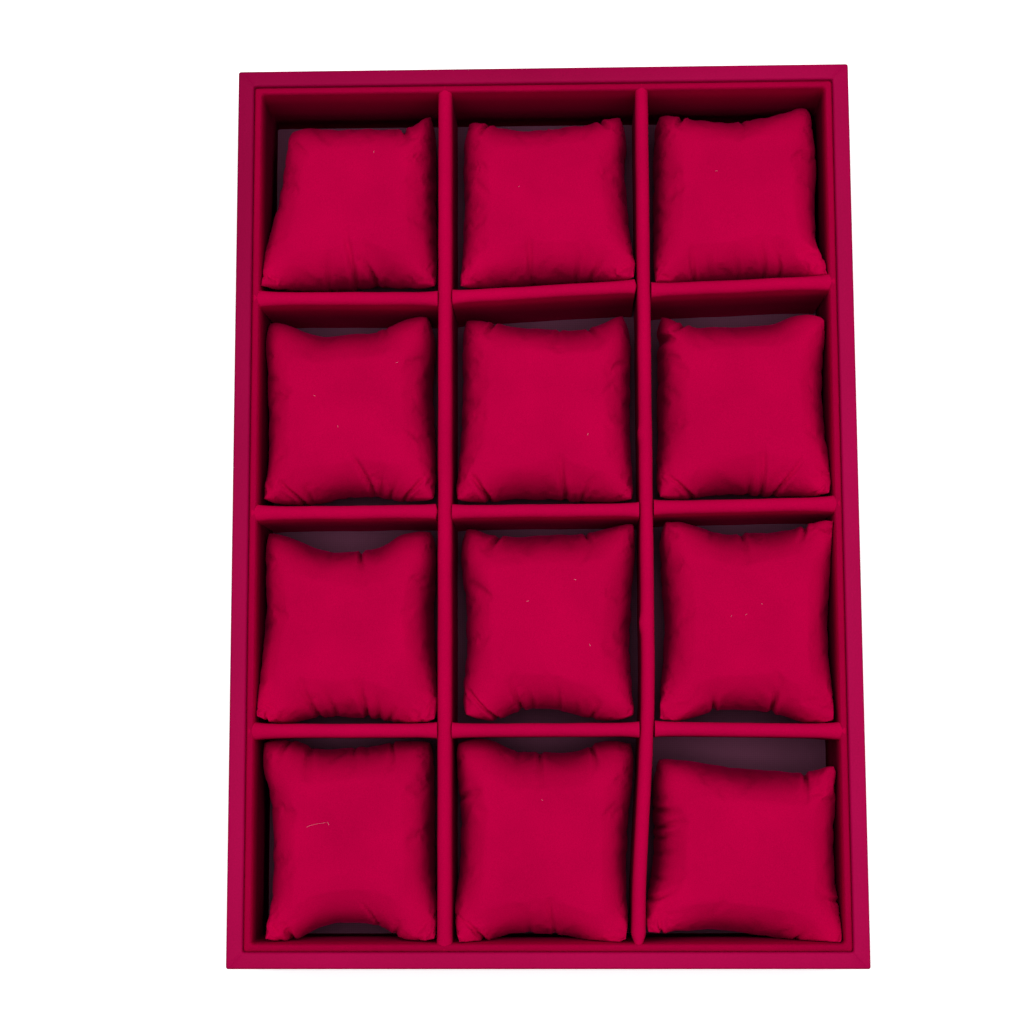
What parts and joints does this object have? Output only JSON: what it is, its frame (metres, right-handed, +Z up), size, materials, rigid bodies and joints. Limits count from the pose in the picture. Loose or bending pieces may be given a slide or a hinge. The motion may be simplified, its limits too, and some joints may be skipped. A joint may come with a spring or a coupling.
{
  "type": "jewelry organizer tray",
  "caption": "Open rectangular jewelry tray: a leatherette frame, velvet dividers that make cells, and a small stuffed velvet pillow in each cell for a watch or bracelet.",
  "frame": {"origin": "under the middle of the tray, on the surface that it stands on", "axes": "+X across the three columns, +Y along the rows towards the back, +Z up"},
  "size_m": [0.24, 0.348, 0.048],
  "materials": {
    "leatherette": "smooth crimson leatherette wrap with a fine grain and a slight sheen",
    "velvet_board": "short crimson velvet wrapped over boards",
    "pillow_velvet": "soft crimson velvet with a short pile",
    "floor_cloth": "dull purple-grey lining cloth",
    "base_board": "dark plain fibreboard"
  },
  "bodies": {
    "root": {"frame_side_left": "leatherette", "frame_side_right": "leatherette", "frame_side_back": "leatherette", "frame_side_front": "leatherette", "base_panel": "base_board", "floor_lining": "floor_cloth", "liner_left": "velvet_board", "liner_right": "velvet_board", "liner_back": "velvet_board", "liner_front": "velvet_board", "long_divider_left": "velvet_board", "long_divider_right": "velvet_board", "cross_divider_r1_c1": "velvet_board", "cross_divider_r1_c2": "velvet_board", "cross_divider_r1_c3": "velvet_board", "cross_divider_r2_c1": "velvet_board", "cross_divider_r2_c2": "velvet_board", "cross_divider_r2_c3": "velvet_board", "cross_divider_r3_c1": "velvet_board", "cross_divider_r3_c2": "velvet_board", "cross_divider_r3_c3": "velvet_board", "pillow_r1_c1": "pillow_velvet", "pillow_r1_c2": "pillow_velvet", "pillow_r1_c3": "pillow_velvet", "pillow_r2_c1": "pillow_velvet", "pillow_r2_c2": "pillow_velvet", "pillow_r2_c3": "pillow_velvet", "pillow_r3_c1": "pillow_velvet", "pillow_r3_c2": "pillow_velvet", "pillow_r3_c3": "pillow_velvet", "pillow_r4_c1": "pillow_velvet", "pillow_r4_c2": "pillow_velvet", "pillow_r4_c3": "pillow_velvet"}
  },
  "joints": []
}
